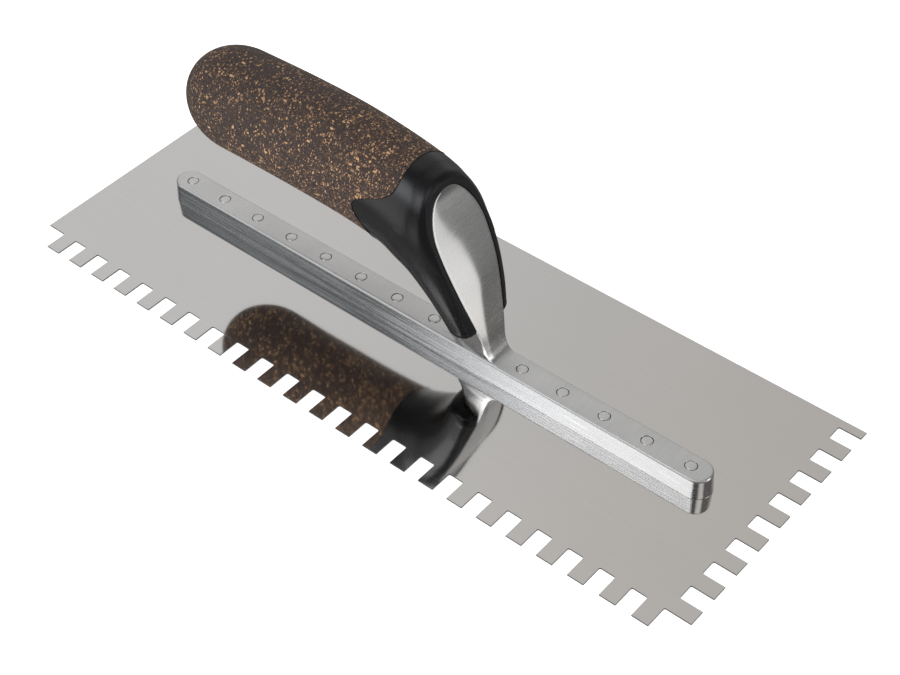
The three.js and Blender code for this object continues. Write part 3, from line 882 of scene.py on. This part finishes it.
def coved_edge(points, at_start):
    """Rows that take a grid's first or last row down into the seam by a small cove, deepest first."""
    edge, inward = (0, 1) if at_start else (-1, -2)
    base, next_row = points[edge], points[inward]
    normal = surface_normals(points)[inward]
    away = next_row - base
    away /= np.maximum(np.linalg.norm(away, axis=1, keepdims=True), TINY)
    return [
        base + SEAM_COVE * (away * math.sin(angle) - normal * math.cos(angle))
        for angle in np.linspace(0, math.pi / 2, 6)
    ]


def mirrored_rings(half_rows):
    """Closed rings from half sections: the near half, then the far half back to the top."""
    return [np.concatenate([row, row[-2:0:-1] * (1, -1, 1)]) for row in half_rows]


def ruled_cap(first, columns, reverse):
    """Faces that close a ring straight across, from each near point to its far twin."""
    sides = 2 * columns - 2

    def far(j):
        return first + (sides - j) % sides

    faces = [(first, first + 1, far(1))]
    for j in range(1, columns - 2):
        faces.append((first + j, first + j + 1, far(j + 1), far(j)))
    faces.append((first + columns - 2, first + columns - 1, far(columns - 2)))
    return [tuple(reversed(face)) for face in faces] if reverse else faces


def moulded(name, half_rows, ruled_at_start):
    """A closed solid from half sections: ruled across at the seam, a flat face at its other end."""
    rings = mirrored_rings(half_rows)
    sides, columns = len(rings[0]), len(half_rows[0])
    points = np.concatenate(rings)
    last = len(points) - sides
    faces = ring_faces(len(rings), sides)
    if ruled_at_start:
        faces += ruled_cap(0, columns, reverse=True)
        faces.append(tuple(range(last, len(points))))
    else:
        faces.append(tuple(reversed(range(sides))))
        faces += ruled_cap(last, columns, reverse=False)
    piece = make_object(name, points, faces)
    weld(piece, 0.01)
    return piece


# ------------------------------------------------------------------ cork grip


def dome_rows(grid, steps=26):
    """Rounded heel end, from near its pole to the first full section."""
    start = grid[0]
    middle = (start[0] + start[-1]) / 2
    rows = []
    for i in range(steps, 0, -1):
        angle = math.pi / 2 * i / (steps + 0.2)
        row = middle + (start - middle) * math.cos(angle)
        rows.append(row - (DOME_LENGTH * math.sin(angle), 0, 0))
    return rows


def cut_tang_way(piece, back, front):
    """Cuts the way that the casting's tang goes through."""
    outline = rectangle(TANG_WIDTH + 2 * CLEARANCE, TANG_HEIGHT + 2 * CLEARANCE)
    return combine(piece, along_grip("tang_way", outline, back, front), "DIFFERENCE")


def make_cork(grid, crossings, material):
    rows_to_seam = 110
    share = np.linspace(0, 1, rows_to_seam)[:, None]
    body = pick_rows(grid, share * (crossings[None, :] - SEAM_GAP_ROWS))
    edge = coved_edge(body, at_start=False)
    rows = [*dome_rows(grid), *body[:-1], *reversed(edge)]
    piece = moulded("cork_grip_moulded", rows, ruled_at_start=False)
    core = ellipse(CORE_HALF_WIDTH + CLEARANCE, CORE_HALF_HEIGHT + CLEARANCE)
    bore = along_grip("core_bore", core, CORE_BACK - CLEARANCE, CORE_FRONT + CLEARANCE)
    piece = combine(piece, bore, "DIFFERENCE")
    piece = cut_tang_way(piece, CORE_FRONT, PAST_CORK)
    finish_piece(piece, material, "cork_rubber", "cork_grip", sharp_degrees=50)


# ------------------------------------------------------------------ collar


def face_outline():
    """The outline of the neck's polished face, near half, from the foot to the apex."""
    t = np.linspace(0.2, 1, 500)
    front = spline(NECK_FRONT, t)
    return np.stack([front[:, 0], -neck_half_width(front[:, 1]), front[:, 1]], 1)


def face_frame(points):
    """For each point, its nearest place on the face's outline and the face's normal there."""
    edge = face_outline()
    tangent = np.gradient(edge[:, (0, 2)], axis=0)
    normal = np.stack([tangent[:, 1], np.zeros(len(edge)), -tangent[:, 0]], 1)
    normal /= np.linalg.norm(normal, axis=1, keepdims=True)
    nearest = np.zeros(points.shape[:2], int)
    for row, line in enumerate(points):
        gaps = np.linalg.norm(line[:, None, :] - edge[None], axis=2)
        nearest[row] = gaps.argmin(1)
    return edge[nearest], normal[nearest]


def round_the_face(points):
    """Brings the collar down flush with the polished face: a lip, a bead, a groove and a crest."""
    place, normal = face_frame(points)
    offset = points - place
    proud = (offset * normal).sum(axis=2)
    away = np.linalg.norm(offset - proud[:, :, None] * normal, axis=2)
    covers = np.abs(points[:, :, 1]) < neck_half_width(points[:, :, 2])
    covers &= (proud > -COVERED_DEPTH) & (points[:, :, 2] < FACE_APEX)
    away = np.where(covers, -away, away)
    height = place[:, :, 2]
    crest_place = np.interp(height, *zip(*CREST))
    high = smoothstep(height, *HIGH_PART)
    near = proud > -SHAPED_DEPTH

    flush_end = crest_place - HIGH_FLUSH_SHORTER * high
    rim = 1 - smoothstep((away - flush_end) / (FLUSH_FADE * (1 + high)), -1, 0)
    flush = -np.maximum(proud - RIM_PROUD, -MOST_RAISED) * rim
    lip = -LIP_DEPTH * (1 - smoothstep(away, *LIP_REACH))
    bead = BEAD_HEIGHT * hump(away, BEAD_PLACE, BEAD_WIDTH) * high
    groove = -GROOVE_DEPTH * hump(away, GROOVE_PLACE, GROOVE_WIDTH) * high
    crest_height = LOW_CREST_HEIGHT + (CREST_HEIGHT - LOW_CREST_HEIGHT) * high
    crest_width = LOW_CREST_WIDTH + (CREST_WIDTH - LOW_CREST_WIDTH) * high
    crest = crest_height * hump(away, crest_place, crest_width)

    forward = ((flush + lip) * near)[:, :, None] * normal
    outward = ((bead + groove + crest) * near)[:, :, None] * surface_normals(points)
    return points + forward + outward


def tip_rows(last, steps=14):
    """The collar's rounded lower end, from its last full section to near the pole."""
    top, low = last[0], last[-1]
    middle = low + (top - low) * WIDEST_PLACE[-1]
    span = (top - low) / np.linalg.norm(top - low)
    down = np.array([span[2], 0, -span[0]])
    rows = []
    for i in range(1, steps + 1):
        angle = math.pi / 2 * i / (steps + 0.15)
        scale = (math.cos(angle), math.cos(angle) ** 0.25, math.cos(angle))
        rows.append(middle + (last - middle) * scale + down * (TIP_LENGTH * math.sin(angle)))
    return rows


def make_collar(grid, crossings, material):
    rows_from_seam = 190
    share = np.linspace(0, 1, rows_from_seam)[:, None]
    start = crossings[None, :] + SEAM_GAP_ROWS
    body = pick_rows(grid, start + share * (len(grid) - 1 - start))
    shaped = round_the_face(np.concatenate([body, tip_rows(body[-1])]))
    rows = [*coved_edge(shaped, at_start=True), *shaped[1:]]
    piece = moulded("collar_moulded", rows, ruled_at_start=True)
    piece = combine(piece, make_neck(NECK_POCKET_GAP, POCKET_AHEAD, steps=80), "DIFFERENCE")
    piece = cut_tang_way(piece, BEHIND_COLLAR, INSIDE_POCKET)
    finish_piece(piece, material, "collar_rubber", "collar", sharp_degrees=45)


# ------------------------------------------------------------------ stage

# The camera: place in metres, turn in degrees, lens and sensor in millimetres.
CAMERA_PLACE = (0.32151, -0.35800, 0.46835)
CAMERA_TURN = (45.0933, 2.0469, 41.1299)
CAMERA_LENS, CAMERA_SENSOR = 72.869, 36
CAMERA_SHIFT = (0.0611, 0.0150)

FLOOR_HALF_SIZE = 3000
FLOOR_GAP = 0.05

# The sky's level, and its soft regions, as (direction, cosine of the angle from it at which the
# region starts, cosine at which it is full, change of level).
SKY_LEVEL = 0.22
SKY_REGIONS = [
    ((-0.45, 0.62, 0.65), 0.58, 0.92, 0.62),
    ((-0.10, 0.72, 0.69), 0.86, 1.0, -0.17),
    ((0.50, 0.80, -0.25), 0.6, 0.92, 0.09),
    ((0.93, 0.26, -0.09), 0.94, 0.985, 1.25),
    ((0.90, 0.25, 0.36), 0.955, 0.99, 2.2),
    ((0.60, 0.60, -0.55), 0.87, 0.98, -0.14),
    ((-0.5, 0.0, 0.87), 0.9, 0.99, 0.2),
    ((0.57, -0.30, 0.77), 0.955, 0.99, 1.3),
    ((-0.1, -0.75, -0.6), 0.6, 0.95, 0.25),
    ((-0.48, -0.86, 0.12), 0.84, 0.95, 1.3),
]
SKY_COLOUR = (1, 0.995, 0.985, 1)

# The lights, as (name, direction, distance and size in metres, power in watts, colour).
LIGHTS = [
    ("key", (-0.13, -0.70, 0.69), 1.3, (0.85, 0.62), 6.2, (0.95, 0.97, 1.0)),
    ("side", (-0.64, -0.5, 0.6), 1.3, (0.6, 0.6), 0.12, (0.6, 0.8, 1.0)),
]
LIGHTS_LOOK_AT = (0, 0, 0.04)


def make_camera():
    data = bpy.data.cameras.new("camera")
    data.sensor_width = CAMERA_SENSOR
    data.lens = CAMERA_LENS
    data.shift_x, data.shift_y = CAMERA_SHIFT
    camera = bpy.data.objects.new("camera", data)
    camera.location = CAMERA_PLACE
    camera.rotation_euler = Euler([math.radians(a) for a in CAMERA_TURN])
    bpy.context.scene.collection.objects.link(camera)
    bpy.context.scene.camera = camera


def make_floor():
    corners = [(x, y, -FLOOR_GAP) for x, y in rectangle(2 * FLOOR_HALF_SIZE, 2 * FLOOR_HALF_SIZE)]
    floor = make_object("floor", corners, [(0, 1, 2, 3)])
    floor.data.materials.append(floor_paint())
    floor.visible_glossy = False


def make_light(name, direction, distance, size, power, colour):
    """A soft rectangular light that looks at the object from a direction."""
    data = bpy.data.lights.new(name, "AREA")
    data.shape = "RECTANGLE"
    data.size, data.size_y = size
    data.energy = power
    data.color = colour
    light = bpy.data.objects.new(name, data)
    toward = Vector(direction).normalized()
    light.location = toward * distance + Vector(LIGHTS_LOOK_AT)
    light.rotation_euler = toward.to_track_quat("Z", "Y").to_euler()
    light.visible_camera = False
    bpy.context.scene.collection.objects.link(light)


def sky_region(tree, view, axis, low, high, change):
    """Node output that is 0 outside a soft round region of the sky and the change inside it."""
    dot = tree.nodes.new("ShaderNodeVectorMath")
    dot.operation = "DOT_PRODUCT"
    dot.inputs[1].default_value = Vector(axis).normalized()
    tree.links.new(view, dot.inputs[0])
    region = tree.nodes.new("ShaderNodeMapRange")
    region.interpolation_type = "SMOOTHSTEP"
    region.inputs["From Min"].default_value = low
    region.inputs["From Max"].default_value = high
    region.inputs["To Min"].default_value = 0
    region.inputs["To Max"].default_value = change
    tree.links.new(dot.outputs["Value"], region.inputs["Value"])
    return region.outputs[0]


def make_world():
    """An even sky with soft darker and brighter regions."""
    world = bpy.data.worlds.new("studio")
    bpy.context.scene.world = world
    world.use_nodes = True
    tree = world.node_tree
    view = tree.nodes.new("ShaderNodeTexCoord").outputs["Generated"]
    level = None
    for region in SKY_REGIONS:
        total = tree.nodes.new("ShaderNodeMath")
        total.operation = "ADD"
        tree.links.new(sky_region(tree, view, *region), total.inputs[0])
        if level is None:
            total.inputs[1].default_value = SKY_LEVEL
        else:
            tree.links.new(level, total.inputs[1])
        level = total.outputs[0]
    tree.links.new(level, tree.nodes["Background"].inputs["Strength"])
    tree.nodes["Background"].inputs["Color"].default_value = SKY_COLOUR


# ------------------------------------------------------------------ assembly


def dress_hidden_nodes():
    """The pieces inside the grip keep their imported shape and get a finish."""
    steel = fastener_steel()
    finishes = {
        "handle_core": core_plastic(), "tang_stud": steel, "stud_washer": steel, "stud_nut": steel,
    }
    for node, material in finishes.items():
        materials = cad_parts[node].data.materials
        for i in range(len(materials)):
            materials[i] = material


make_camera()
make_floor()
make_world()
for light in LIGHTS:
    make_light(*light)
make_blade()
make_mounting(cast_aluminium())
make_rivets(rivet_steel())
grid = handle_grid(stations=700, columns=101)
make_cork(grid, seam_crossings(grid), cork_rubber())
grid = collar_grid(stations=700, over_face=24, beyond=92)
make_collar(grid, seam_crossings(grid), collar_rubber())
dress_hidden_nodes()
bpy.context.scene.view_settings.view_transform = "Standard"
